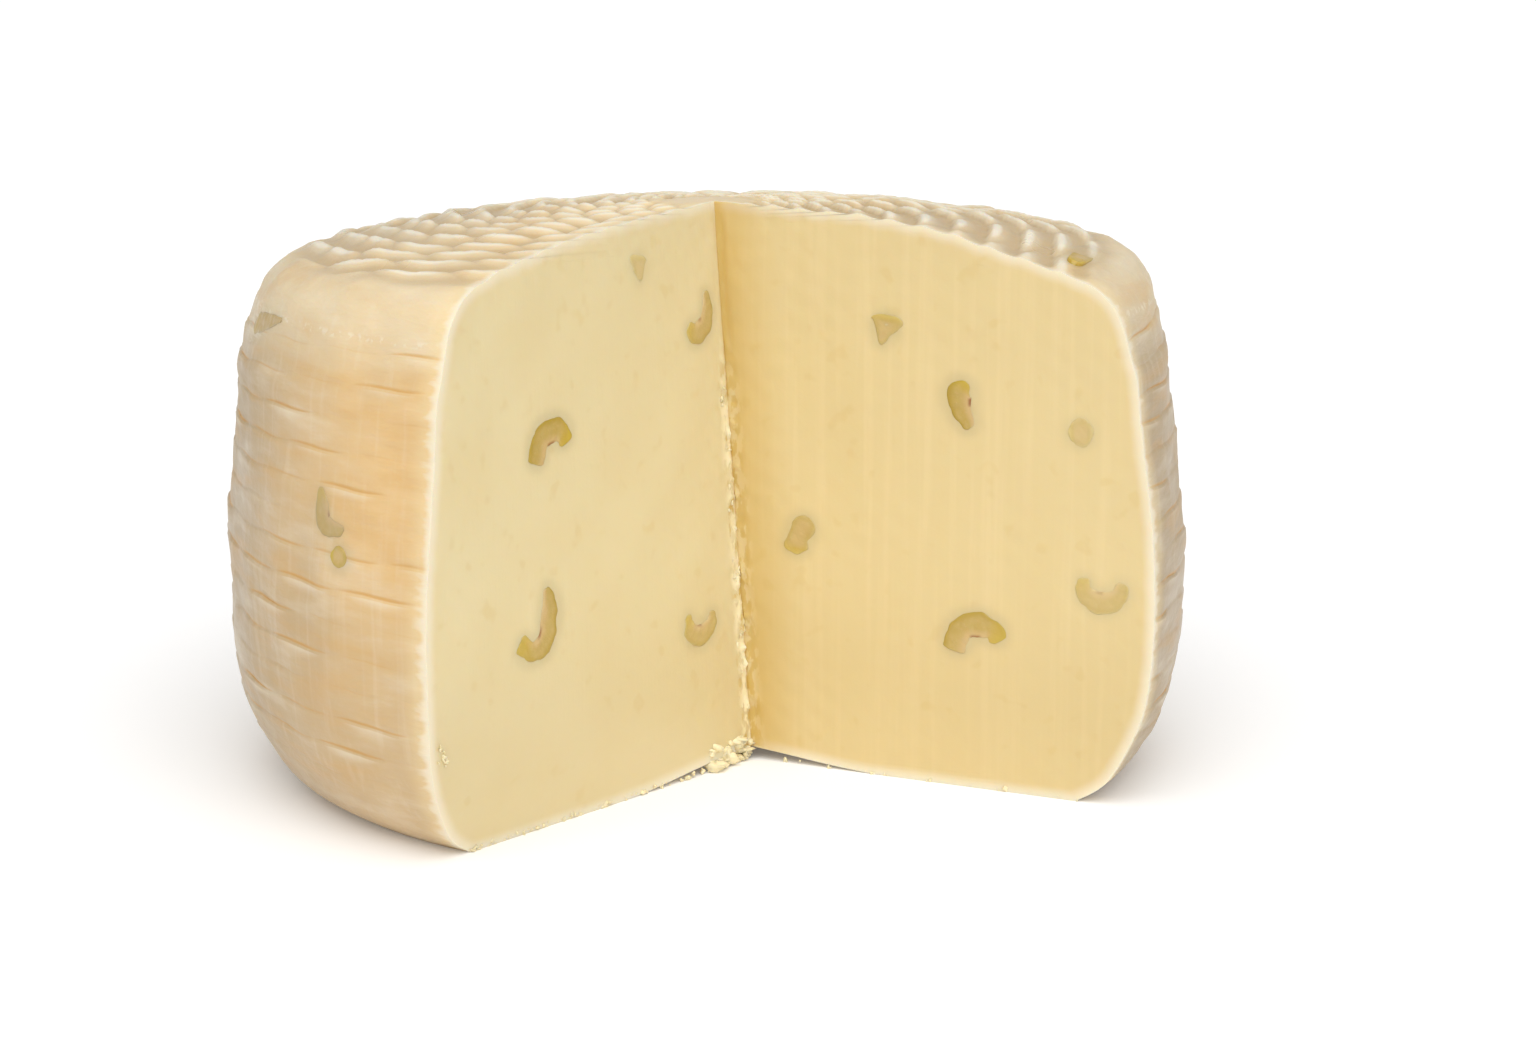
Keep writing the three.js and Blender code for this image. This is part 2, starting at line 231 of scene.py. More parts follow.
# Crumbs: share of all, cut, distances out and heights between which they lie and sizes, all in mm, and how
# tall they are
CRUMB_PLACES = (
    (0.16, "left", (0.3, 2.4), (12, 80), (0.2, 0.5), 1.7),
    (0.3, "left", (0.5, 13), (0, 5), (0.6, 2.0), 0.7),
    (0.42, "left", (14, 84), (0, 1.0), (0.2, 0.55), 1),
    (0.04, "left", (92.5, 95), (20, 24), (0.3, 0.8), 1),
    (0.08, "right", (4, 80), (0, 0.8), (0.2, 0.5), 1),
)
CRUMB_ROWS = 7
CRUMB_COLUMNS = 9
CRUMB_SEED = 5
CRUMB_LEVEL = 0.6
CRUMB_STAND = (-0.8, 0.2)
CRUMB_STRETCH = (0.5, 1.5)
CRUMB_LUMPS = (0.45, 1.5, 31)
CRUMB_APART = 40

# Stage
FLOOR_REACH = 8.0
FLOOR_ROUGHNESS = 0.8
FLOOR_GLOW = 0.08
SKY_STRENGTH = 0.5
KEY_ENERGY = 2.16
KEY_SIZE = math.radians(65)
KEY_AZIMUTH = math.radians(3)
KEY_ELEVATION = math.radians(57)
CAMERA_SENSOR = 36
CAMERA_LENS = 75.53
CAMERA_PLACE = np.array([0, -665, 195.1]) * MM
CAMERA_DOWN = math.radians(12.4)
CAMERA_TURN = math.radians(-1.09)


def srgb(red, green, blue):
    """Linear colour of a display colour given as 0 to 255."""
    share = np.array([red, green, blue]) / 255
    return tuple(np.where(share > 0.04045, ((share + 0.055) / 1.055) ** 2.4, share / 12.92))


def colour(name, description, *display):
    return bpy.props.FloatVectorProperty(
        name=name, description=description, subtype="COLOR", size=3, min=0, max=1, default=srgb(*display))


def length(name, description, default):
    return bpy.props.FloatProperty(
        name=name, description=description, default=default, min=0, subtype="DISTANCE", unit="LENGTH")


class CheeseSizes(bpy.types.PropertyGroup):
    """Sizes of the relief and of the small pieces."""

    side_swell: length("Side swell", "How far a strand's imprint stands out on the side", 0.55 * MM)
    side_groove: length("Side groove", "Depth of the thin lines between strands on the side", 0.2 * MM)
    top_swell: length("Top swell", "How far a strand's imprint stands out on the top", 1.4 * MM)
    tear: length("Tear", "How far the torn paste stands out along the inner corner", 0.55 * MM)
    olive_stand: length("Olive stand", "How far an olive piece stands out of the cheese", 0.12 * MM)
    crumbs: bpy.props.IntProperty(
        name="Crumbs", description="Number of loose crumbs at the cuts", default=190, min=20, max=600)


class CheeseColours(bpy.types.PropertyGroup):
    """Colours of the cheese, the olives and the floor."""

    paste_left: colour("Left paste", "Cut face on the left", 228, 212, 167)
    paste_right: colour("Right paste", "Cut face on the right", 225, 203, 149)
    # The rim colour also serves as pale smears, streaks and nicks on the rind and as painted highlights on
    # its crests
    rim: colour("Rim", "Pale line along the cut edges", 238, 229, 208)
    lip: colour("Lip", "Translucent rind beside the cut edges", 236, 214, 164)
    # The rind is warm near the left cut; the dry and shaded rind gives its dry patches and its painted shade
    # away from that cut and towards its foot
    rind: colour("Rind", "Warm rind near the left cut", 225, 190, 135)
    dry_and_shaded_rind: colour("Pale rind", "Greyer, drier rind", 178, 156, 122)
    crest: colour("Crest", "Rind on the top", 232, 213, 175)
    groove: colour("Groove", "Rind in the lines of the weave", 210, 158, 74)
    # Painted shade in the valleys between the strands on the top
    valley_shade: colour("Valley", "Rind between the strands on the top", 188, 158, 108)
    # The corner colour gives ochre flecks and pits, and painted shade with warm bounce light in the inner
    # corner and towards the foot of the faces
    corner: colour("Corner", "Paste deep in the inner corner", 205, 168, 78)
    crumb: colour("Crumb", "Torn paste and crumbs", 247, 232, 190)
    flesh: colour("Flesh", "Olive flesh", 192, 164, 92)
    skin: colour("Skin", "Olive skin", 178, 148, 54)
    heart: colour("Heart", "Olive flesh next to the pit", 208, 176, 122)
    pit: colour("Pit", "Olive flesh where the pit was", 150, 92, 44)
    # The halo colour also serves as painted shade on the paste towards its foot
    limb: colour("Limb", "Broken end of an olive ring", 196, 166, 52)
    halo: colour("Halo", "Paste stained by an olive", 184, 166, 124)
    floor: colour("Floor", "Studio floor", 250, 250, 250)


def smoothstep(value, low, high):
    share = np.clip((value - low) / (high - low), 0, 1)
    return share * share * (3 - 2 * share)


def around_axis(radius, azimuth, height):
    """Points at a radius, an azimuth and a height about the wheel's axis."""
    return np.stack(np.broadcast_arrays(radius * np.sin(azimuth), -radius * np.cos(azimuth), height), -1)


def ripple(points, amount, size, seed):
    """Uneven values up to about an amount: a sum of plane waves about so long, in random directions."""
    draw = np.random.default_rng(seed)
    ways = draw.normal(size=(WAVES, 3))
    ways /= np.linalg.norm(ways, axis=1)[:, None]
    ways *= TURN / size * draw.uniform(*WAVE_SPREAD, (WAVES, 1))
    return amount * (np.sin(points @ ways.T + draw.uniform(0, TURN, WAVES)).sum(-1) * WAVE_SCALE)


def spline(points, steps):
    """Smooth curve through points: each stretch between two of them is the cubic that leaves and arrives
    along the line between its neighbours."""
    points = np.asarray(points, float)
    ends = np.vstack([points[:1], points, points[-1:]])
    at = np.linspace(0, len(points) - 1, steps)
    first = np.minimum(at.astype(int), len(points) - 2)
    t = (at - first)[:, None]
    a, b, c, d = (ends[first + step] for step in range(4))
    bend = (2 * a - 5 * b + 4 * c - d) * t ** 2 + (3 * b - a - 3 * c + d) * t ** 3
    return 0.5 * (2 * b + (c - a) * t + bend)


RIND = spline(RIND_OUTLINE, FINE_STEPS)
RIND_ARC = np.append(0, np.cumsum(np.linalg.norm(np.diff(RIND, axis=0), axis=1)))
RIND_SLOPE = np.gradient(RIND, RIND_ARC, axis=0)
SHOULDER_ARC = np.interp(SHOULDER_HEIGHT, RIND[:, 1], RIND_ARC)


def on_rind(arc):
    """Radius, height and outward normal of the rind's outline, so far along it from the foot."""
    radius = np.interp(arc, RIND_ARC, RIND[:, 0])
    height = np.interp(arc, RIND_ARC, RIND[:, 1])
    normal_out = np.interp(arc, RIND_ARC, RIND_SLOPE[:, 1])
    normal_up = -np.interp(arc, RIND_ARC, RIND_SLOPE[:, 0])
    return radius, height, normal_out, normal_up


def handmade(radius, azimuth, height):
    """Rise and inward pull of the uneven wheel: a lean that goes with the cosine of the azimuth,
    less a slump that is a bell curve beside the right-hand cut."""
    lean = np.cos(azimuth - LEAN_AZIMUTH) * radius / SHOULDER_RADIUS
    lean = lean * smoothstep(height, LEAN_START, SHOULDER_HEIGHT)
    aside = (np.mod(azimuth - SLUMP_AZIMUTH + math.pi, TURN) - math.pi) / SLUMP_WIDTH
    slump = np.exp(-aside ** 2) * smoothstep(radius, *SLUMP_RADII)
    slump = slump * smoothstep(height, SLUMP_START, SHOULDER_HEIGHT)
    return LEAN_RISE * lean - SLUMP_DROP * slump, LEAN_PULL * lean - SLUMP_SPREAD * slump


def apex(height):
    """Points of the straight line in which the two cuts meet."""
    share = (height - APEX_BOTTOM[2]) / (APEX_TOP[2] - APEX_BOTTOM[2])
    return APEX_BOTTOM + np.asarray(share)[..., None] * (APEX_TOP - APEX_BOTTOM)


def cut_direction(side, height):
    """Level direction of a cut from the apex line to the rind; the left one bends a little near the foot."""
    azimuth = RIGHT_CUT
    if side == "left":
        azimuth = LEFT_CUT + LEFT_BEND * np.clip(1 - height / LEFT_BEND_HEIGHT, 0, 1) ** 2
    away = around_axis(BELLY_RADIUS, azimuth, height) - apex(height)
    return away / np.linalg.norm(away, axis=-1, keepdims=True)


def cut_point(side, out, height):
    """Points of a cut face, so far out from the apex line at a height."""
    return apex(height) + np.asarray(out)[..., None] * cut_direction(side, height)


def cut_normal(side, height):
    """Direction out of a cut face, into the notch: its level direction turned by a right angle."""
    away = cut_direction(side, height)
    turn = 1 if side == "left" else -1
    return turn * np.stack([-away[..., 1], away[..., 0], 0 * away[..., 0]], -1)


def cut_azimuth(side, radius, height):
    """Azimuth at which a cut leaves the rind: the level ray of the cut meets the circle of that radius.
    The uneven shape moves the circle a little, so the sum is repeated."""
    azimuth = np.full_like(radius, LEFT_CUT if side == "left" else RIGHT_CUT)
    for _ in range(CUT_ROUNDS):
        rise, pull = handmade(radius, azimuth, height)
        start = apex(height + rise)
        away = cut_direction(side, height + rise)
        along = (start * away)[..., :2].sum(-1)
        out = np.sqrt(along ** 2 - (start[..., :2] ** 2).sum(-1) + (radius - pull) ** 2) - along
        place = start + out[..., None] * away
        azimuth = np.arctan2(place[..., 0], -place[..., 1])
    return azimuth


def surface_frame(place):
    """Origin, right, up and outward directions on a cut face or on the rind."""
    surface, first, second = place
    if surface == "rind":
        azimuth = math.radians(first)
        radius, height, normal_out, normal_up = on_rind(second * RIND_ARC[-1])
        rise, pull = handmade(radius, azimuth, height)
        origin = around_axis(radius - pull, azimuth, height + rise)
        right = around_axis(1, azimuth + math.pi / 2, 0)
        normal = around_axis(normal_out, azimuth, normal_up)
        return origin, right, np.cross(normal, right), normal
    out, height = first * MM, second * MM
    origin = cut_point(surface, out, height)
    away = cut_direction(surface, height)
    right = -away if surface == "left" else away
    above = cut_point(surface, out, height + MM) - origin
    normal = np.cross(right, above)
    normal /= np.linalg.norm(normal)
    return origin, right, np.cross(normal, right), normal


def stroke_line(stroke, steps):
    """Middle line of a shape of olive, the direction to its outer side and half its width, in metres."""
    line = spline(STROKES[stroke], steps) * MM
    along = np.gradient(line[:, :2], axis=0)
    along /= np.linalg.norm(along, axis=1)[:, None]
    return line[:, :2], np.stack([along[:, 1], -along[:, 0]], 1), line[:, 2]


def olive_halo(points, cleared=0.0):
    """Stain round every olive piece: a bell curve of the distance to its outline, in its plane.

    The distance is taken to the nearest of some discs along the piece's middle line, as wide as the piece is
    there but no wider than its ends allow. A share of the stain can be cleared where cheese veils the piece.
    """
    halo = np.zeros(points.shape[:-1])
    for _, place, stroke, veil in OLIVES:
        origin, right, up, normal = surface_frame(place)
        near = np.linalg.norm(points - origin, axis=-1) < OLIVE_REACH
        offset = points[near] - origin
        middle, _, half = stroke_line(stroke, HALO_STEPS)
        disc = np.minimum(half, np.linalg.norm(middle - middle[:1], axis=1))
        disc = np.minimum(disc, np.linalg.norm(middle - middle[-1:], axis=1))
        flat = np.stack([offset @ right, offset @ up], -1)
        distance = (np.linalg.norm(flat[:, None] - middle, axis=-1) - disc).min(1)
        distance = np.hypot(np.maximum(distance, 0), HALO_DEPTH * (offset @ normal))
        stain = np.exp(-(distance / HALO_WIDTH) ** 2) * (1 - cleared * veil)
        halo[near] = np.maximum(halo[near], stain)
    return halo


def side_line(line, azimuth):
    """Wave and strength of one line of the weave on the side: it starts anew at every stake, half a cell on
    in every second line, and fades towards the cell's ends."""
    draw = np.random.default_rng(WEAVE_SEED)
    shift = draw.uniform(-LINE_SHIFT, LINE_SHIFT, SIDE_STRANDS + 1)
    strength = draw.uniform(DASH_FAINTEST, 1, (SIDE_STRANDS + 1, SIDE_STAKES)) ** DASH_CONTRAST
    place = azimuth / TURN * SIDE_STAKES + 0.5 * (line % 2) + shift[line]
    cell = np.floor(place).astype(int)
    along = place - cell
    return 0.5 * np.sin(TURN * along), strength[line, cell % SIDE_STAKES] * np.sqrt(np.sin(math.pi * along))


def side_weave(strand, azimuth):
    """Imprint of the basket on the side at a strand number and azimuth: how far the strand moves up, the
    thin lines between strands, as bell curves, and the strand's crown, which rises evenly to the strand's
    upper edge and drops off there, as laid tiles do upside down."""
    below = np.floor(strand).astype(int)
    across = strand - below
    wave_below, dash_below = side_line(below, azimuth)
    wave_above, dash_above = side_line(below + 1, azimuth)
    shift = (1 - across) * wave_below + across * wave_above
    line = np.exp(-(across / LINE_TOP) ** 2) * dash_below
    line = line + np.exp(-((1 - across) / LINE_FOOT) ** 2) * dash_above
    lap = LAP_FAINTEST + (1 - LAP_FAINTEST) * dash_above
    crown = across * (1 - smoothstep(across, 1 - LAP_EDGE, 1)) * lap
    return shift, line, crown


def top_weave(points):
    """Imprint of the basket on the top: strands that run inwards at a slant, each twisted like a rope into
    leaves. A leaf rises slowly from its outer edge, falls steeply at its inner one and dips at its slanting
    ends."""
    draw = np.random.default_rng(WEAVE_SEED)
    azimuth = np.unwrap(np.arctan2(points[..., 0], -points[..., 1]), axis=1)
    inward = SHOULDER_RADIUS - np.hypot(points[..., 0], points[..., 1])
    strand = (inward - TOP_SLANT * SHOULDER_RADIUS * azimuth) / TOP_PITCH + ripple(points, *TOP_WANDER)
    number = np.floor(strand).astype(int)
    jitter = draw.uniform(-TOP_JITTER, TOP_JITTER, 1 + number.max() - number.min())
    across = strand - number
    place = azimuth / TURN * TOP_LEAVES + TOP_STAGGER * number + jitter[number - number.min()]
    place = place + TOP_TWIST * across
    along = place - np.floor(place)
    ends = 1 - np.abs(2 * along - 1) ** LEAF_ENDS
    leaf = 1 - np.abs(2 * across ** LEAF_LEAN - 1) ** LEAF_ROUNDING
    return leaf * (1 - LEAF_DIP + LEAF_DIP * ends)


def band(value, low, high):
    """One inside a band and none outside it, with soft edges."""
    return smoothstep(value, low - BAND_FADE, low) * (1 - smoothstep(value, high, high + BAND_FADE))


def side_grid(strand, shift, share):
    """Side of the wheel: rows that follow the strands up the outline, from cut to cut. Returns the points,
    the arc along the outline and the strength of the weave."""
    arc = strand / SIDE_STRANDS * SHOULDER_ARC
    strength = band(on_rind(arc)[1], *SIDE_BAND) + 0 * shift
    arc = arc + SIDE_SLOPE * SIDE_PITCH * shift * strength
    radius, height, _, _ = on_rind(arc)
    start = cut_azimuth("left", radius[:, 0], height[:, 0])[:, None]
    end = cut_azimuth("right", radius[:, -1], height[:, -1])[:, None] - TURN
    return around_axis(radius, start + share * (end - start), height), arc, strength


def top_grid(edge):
    """Top of the wheel: rows that close in from the shoulder on the apex in straight lines, as seen from
    above, at the height of the outline. Returns the points, the arc along the outline and the strength of
    the weave."""
    inward = np.linspace(0, 1, TOP_ROWS)[:, None, None]
    points = edge + inward * (APEX_TOP - edge)
    beyond = RIND_ARC >= SHOULDER_ARC
    radius = np.hypot(points[..., 0], points[..., 1])
    arc = np.interp(-radius, -RIND[beyond, 0], RIND_ARC[beyond])
    points[..., 2] = on_rind(arc)[1]
    return points, arc, band(radius, *TOP_BAND)


def under_grid(foot):
    """Underside: straight lines from the apex to the foot, over a dish that falls with a squared cosine."""
    outward = np.linspace(0, 1, UNDER_ROWS, endpoint=False)[:, None, None]
    points = APEX_BOTTOM + outward * (foot - APEX_BOTTOM)
    radius = np.hypot(points[..., 0], points[..., 1])
    points[..., 2] = DISH_DEPTH * np.cos(np.clip(radius / DISH_RADIUS, 0, 1) * math.pi / 2) ** 2
    return points


def rind_grid(sizes):
    """Underside, side and top as rows of points from the left cut round the back to the right cut, moved by
    the uneven shape and then by the weave along the outline's normal. Returns the points and the rind's
    layers."""
    share = np.linspace(0, 1, RIND_COLUMNS)[None, :]
    facing = LEFT_CUT - share * RIND_SPAN
    strand = (np.arange(SIDE_STRANDS)[:, None] + STRAND_STEPS).reshape(-1, 1)
    shift, line, crown = side_weave(strand, facing)
    side, side_arc, on_side = side_grid(strand, shift, share)
    edge, _, _ = side_grid(np.full((1, 1), float(SIDE_STRANDS)), 0 * facing, share)
    top, top_arc, on_top = top_grid(edge)
    under = under_grid(side[:1])
    blank = np.zeros(under.shape[:2])

    points = np.concatenate([under, side, top])
    arc = np.concatenate([blank, side_arc, top_arc])
    on_side = np.concatenate([blank, on_side, 0 * top_arc])
    on_top = np.concatenate([blank, 0 * side_arc, on_top])
    line = np.concatenate([blank, line, 0 * top_arc])
    crown = np.concatenate([blank, crown, top_weave(top)])
    radius = np.hypot(points[..., 0], points[..., 1])
    azimuth = np.arctan2(points[..., 0], -points[..., 1])
    height = points[..., 2]
    _, _, normal_out, normal_up = on_rind(arc)
    from_left = share * RIND_SPAN * radius
    from_cut = np.minimum(share, 1 - share) * RIND_SPAN * radius
    bold = FAINT_STRENGTH + (1 - FAINT_STRENGTH) * smoothstep(from_left, *BOLD_FROM)
    relief = sizes.side_swell * on_side * bold * (crown - SIDE_LEVEL)
    relief = relief + sizes.top_swell * on_top * (crown - TOP_LEVEL)
    relief = relief - sizes.side_groove * on_side * line
    uneven = ripple(points, *RIND_LUMPS) + ripple(points, *RIND_GRAIN)
    relief = relief + uneven * smoothstep(height, *LUMPS_ABOVE) * smoothstep(radius, *LUMPS_BEYOND)
    rise, pull = handmade(radius, azimuth, height)
    points = around_axis(radius - pull, azimuth, height + rise)
    relief = relief * (CUT_STRENGTH + (1 - CUT_STRENGTH) * smoothstep(from_cut, 0, CUT_FADE))
    relief = relief * (1 - olive_halo(points))
    points = points + relief[..., None] * around_axis(normal_out, azimuth, normal_up)
    layers = {
        "groove": line * on_side,
        "crown": crown * np.maximum(on_side, on_top),
        "top": on_top,
        # Warm rind near the left cut, fading away from it into painted shade
        "warm": 1 - smoothstep(from_left, *WARM_LIT_REACH),
        "edge": from_cut / MM,
    }
    return points, layers


def apex_heights(edge):
    """Heights on the apex line at which the rows of the grid start, spread so that most rows run level."""
    rows = len(edge)
    bottom, top = edge[0, 2], edge[-1, 2]
    ends = (0, UNDER_ROWS, UNDER_ROWS + SIDE_ROWS, rows - 1)
    return np.interp(np.arange(rows), ends, bottom + (top - bottom) * np.array(APEX_SHARES))


def face_shares():
    """Places of a cut face's columns from the apex to the rind, closer together near both ends."""
    even = np.linspace(0, 1, FACE_COLUMNS + 2)[1:-1]
    return EVEN_SHARE * even + (1 - EVEN_SHARE) * (0.5 - 0.5 * np.cos(math.pi * even))


def edge_distance(out, height, edge_out, edge_height):
    """Distance of a face's points to the nearest point of its edge, which is first divided evenly."""
    run = np.append(0, np.cumsum(np.hypot(np.diff(edge_out), np.diff(edge_height))))
    even = np.linspace(0, run[-1], EDGE_STEPS)
    tries = zip(np.interp(even, run, edge_out), np.interp(even, run, edge_height))
    nearest = np.full(out.shape, np.inf)
    for place, level in tries:
        nearest = np.minimum(nearest, np.hypot(out - place, height - level))
    return nearest


def face_grid(side, edge, sizes):
    """One cut face as rows of points from the apex line to the edge of the rind: each row is a straight line
    across the face. Along the apex the paste is torn into bumps, and on the right a groove runs beside them.
    Returns the points and the face's layers."""
    edge_out = np.linalg.norm((edge - apex(edge[:, 2]))[:, :2], axis=1)[:, None]
    edge_height = edge[:, 2][:, None]
    start_height = apex_heights(edge)[:, None]
    share = face_shares()[None, :]
    out = share * edge_out
    height = (1 - share) * start_height + share * edge_height
    points = cut_point(side, out, height)
    to_edge = edge_distance(out, height, edge_out[:, 0], edge[:, 2])
    torn = smoothstep(height, *TEAR_FOOT) * (1 - smoothstep(height, *TEAR_HEAD))
    rough = np.maximum(ripple(points, *TEAR_FINE), 0) + np.maximum(ripple(points, *TEAR_COARSE), 0)
    tear = torn * rough * np.exp(-(out / TEAR_REACH[side]) ** 2) * smoothstep(out, 0, TEAR_START)
    inside = smoothstep(to_edge, 0, FACE_EDGE_FADE) * smoothstep(out, 0, FACE_APEX_FADE)
    inside = inside * (1 - olive_halo(points))
    relief = inside * (ripple(points, *FACE_WAVES) + ripple(points, *FACE_GRAIN)) + sizes.tear * tear
    if side == "right":
        groove = np.exp(-((out - CORNER_PLACE) / CORNER_WIDTH) ** 2) * smoothstep(to_edge, 0, CORNER_FADE)
        relief = relief - CORNER_SHARE * sizes.tear * groove
    points = points + relief[..., None] * cut_normal(side, height)
    return points, {"edge": to_edge / MM, "apex": out / MM}


def skin_mesh(name, tubes, layers):
    """Closed skins over tubes: rows of closed loops, from a point at the first row to a point at the last.

    Quads join neighbouring rows and columns, with the last column joined to the first, and triangles close
    the two ends. Each layer becomes a point attribute and has the same tubes, rows and columns.
    """
    count, rows, columns = tubes.shape[:3]

    def flat(values):
        inner = values[:, 1:-1].reshape(count, -1, *values.shape[3:])
        whole = np.concatenate([inner, values[:, :1].mean(2), values[:, -1:].mean(2)], 1)
        return whole.reshape(-1, *values.shape[3:])

    across = np.arange(columns)
    beside = (across + 1) % columns
    row = np.arange(rows - 3)[:, None] * columns
    quads = np.stack([row + across, row + columns + across, row + columns + beside, row + beside], -1)
    last = (rows - 3) * columns
    first_end, last_end = last + columns, last + columns + 1
    first_cap = np.stack([first_end + 0 * across, across, beside], -1)
    last_cap = np.stack([last_end + 0 * across, last + beside, last + across], -1)
    step = (np.arange(count) * (last_end + 1))[:, None, None]
    quads = (quads.reshape(1, -1, 4) + step).reshape(-1, 4)
    caps = (np.concatenate([first_cap, last_cap])[None] + step).reshape(-1, 3)
    mesh = bpy.data.meshes.new(name)
    mesh.from_pydata((flat(tubes) + WHEEL_AXIS).tolist(), [], quads.tolist() + caps.tolist())
    for label, values in layers.items():
        made = mesh.attributes.new(label, "FLOAT", "POINT")
        made.data.foreach_set("value", flat(values).astype(np.float32))
    return mesh


def place_piece(mesh, material, slot, *nodes):
    """Shows a mesh as a piece that rides on the wheel and stands for its CAD nodes."""
    mesh.materials.append(material)
    piece = bpy.data.objects.new(mesh.name, mesh)
    bpy.context.collection.objects.link(piece)
    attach(piece, BODY)
    if nodes:
        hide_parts(*nodes)
    return piece


def cheese_mesh(sizes):
    """Whole cheese: loops that run from the apex across the left face, round the rind and back across the
    right face, one above the other from the lower end of the apex line to its upper end."""
    rind, rind_layers = rind_grid(sizes)
    for column, side in ((0, "left"), (-1, "right")):
        height = rind[:, column, 2]
        out = np.linalg.norm((rind[:, column] - apex(height))[:, :2], axis=1)
        rind[:, column] = cut_point(side, out, height)
    left, left_layers = face_grid("left", rind[:, 0], sizes)
    right, right_layers = face_grid("right", rind[:, -1], sizes)
    corner = apex(apex_heights(rind[:, 0]))[:, None, :]
    points = np.concatenate([corner, left, rind, right[:, ::-1]], 1)

    def loop(label, at_corner=0.0, on_rind_part=0.0):
        parts = (
            np.full(corner.shape[:2], at_corner),
            left_layers.get(label, np.zeros(left.shape[:2])),
            rind_layers.get(label, np.full(rind.shape[:2], on_rind_part)),
            right_layers.get(label, np.zeros(right.shape[:2]))[:, ::-1],
        )
        return np.concatenate(parts, 1)[None]

    on_right = np.zeros(points.shape[:2])
    on_right[:, 0] = 1
    on_right[:, -FACE_COLUMNS:] = 1
    layers = {
        "rind": loop("rind", on_rind_part=1.0),
        "right": on_right[None],
        "edge": loop("edge", at_corner=FAR_AWAY),
        "apex": loop("apex", on_rind_part=FAR_AWAY),
        "groove": loop("groove"),
        "crown": loop("crown"),
        "top": loop("top"),
        "warm": loop("warm"),
        "halo": olive_halo(points, HALO_CLEARED)[None],
    }
    mesh = skin_mesh("cheese_wheel", points[None], layers)
    mesh.shade_smooth()
    mesh.set_sharp_from_angle(angle=SHARP_ANGLE)
    return mesh


def olive_mesh(name, place, stroke, veil, stand, seed):
    """Olive piece: a section with sharply rounded corners, carried along the middle line of its shape and
    narrowing like an arc of a circle at both ends, more so on a broken bit than on a ring. Its edge and face
    are a little rough, and on the rind it is bent to it."""
    middle, aside, half = stroke_line(stroke, OLIVE_ROWS)
    run = np.append(0, np.cumsum(np.linalg.norm(np.diff(middle, axis=0), axis=1)))
    blunt = np.where(run < run[-1] / 2, half[0], half[-1]) if stroke in BIT_STROKES else 0 * run
    blunt = np.clip(blunt, END_ROUNDING, 2 * END_ROUNDING)
    end = np.clip(np.minimum(run, run[-1] - run) / blunt, 0, 1)[:, None]
    angle = np.linspace(0, TURN, OLIVE_COLUMNS, endpoint=False)[None, :]
    across = np.cos(angle)
    up = np.sign(np.sin(angle)) * (1 - np.abs(across) ** SHARPNESS) ** (1 / SHARPNESS)
    out = across * half[:, None] * np.sqrt(1 - (1 - end) ** 2)
    flat = middle[:, None] + aside[:, None] * out[..., None]
    flat = flat * (1 + ripple(np.dstack([flat, 0 * out]), *OLIVE_EDGE, seed))[..., None]
    x, y = flat[..., 0], flat[..., 1]
    z = (stand - OLIVE_DEPTH) / 2 + up * (stand + OLIVE_DEPTH) / 2
    z = z + ripple(np.dstack([flat, 0 * out]), *OLIVE_FACE, seed + 1) * (up > 0)
    if place[0] == "rind":
        z = z - x ** 2 / (2 * BELLY_RADIUS)
    origin, right, above, normal = surface_frame(place)
    points = origin + x[..., None] * right + y[..., None] * above + z[..., None] * normal
    rim = np.maximum(np.abs(across) ** 3, 1 - end)
    skinward = (across + 1) / 2 + 0 * x
    if stroke in BIT_STROKES:
        skinward = BIT_MIDDLE + (BIT_EDGE - BIT_MIDDLE) * rim
    layers = {
        "across": skinward,
        "along": (run / run[-1])[:, None] + 0 * x,
        "rim": rim,
        "veil": np.full_like(x, veil),
    }
    mesh = skin_mesh(name, points[None], {label: values[None] for label, values in layers.items()})
    mesh.shade_smooth()
    return mesh


def crumb_tubes(count):
    """Crumbs: small balls, each stretched and with its own lumps, strewn along the inner corner and the foot
    of the cuts and cut off flat at the floor."""
    draw = np.random.default_rng(CRUMB_SEED)
    over = np.linspace(0, math.pi, CRUMB_ROWS)[:, None]
    angle = np.linspace(0, TURN, CRUMB_COLUMNS, endpoint=False)[None, :]
    ball = np.stack(np.broadcast_arrays(
        np.sin(over) * np.cos(angle), np.sin(over) * np.sin(angle), np.cos(over)), -1)
    groups = []
    for share, side, outs, heights, radii, tall in CRUMB_PLACES:
        number = round(count * share)
        out = draw.uniform(*outs, number) * MM
        radius = radii[0] + (radii[1] - radii[0]) * draw.uniform(0, 1, number) ** 2
        height = np.maximum(draw.uniform(*heights, number), CRUMB_LEVEL * radius) * MM
        centre = cut_point(side, out, height)
        stand = draw.uniform(*CRUMB_STAND, number) * radius * MM
        centre += stand[:, None] * cut_normal(side, height)
        stretch = draw.uniform(*CRUMB_STRETCH, (number, 1, 1, 3)) * (1, 1, tall)
        stretch = stretch * (radius * MM)[:, None, None, None]
        lumps = 1 + ripple(ball + draw.uniform(0, CRUMB_APART, (number, 1, 1, 3)), *CRUMB_LUMPS)
        groups.append(centre[:, None, None, :] + ball * lumps[..., None] * stretch)
    tubes = np.concatenate(groups)
    tubes[..., 2] = np.maximum(tubes[..., 2], 0)
    return tubes


def node(tree, kind, **settings):
    made = tree.nodes.new(kind)
    for name, value in settings.items():
        setattr(made, name, value)
    return made


def feed(tree, socket, value):
    """Links an output to a socket, or sets the socket's own value."""
    if isinstance(value, bpy.types.NodeSocket):
        tree.links.new(value, socket)
    elif socket.type == "RGBA" and len(value) == 3:
        socket.default_value = (*value, 1)
    else:
        socket.default_value = value


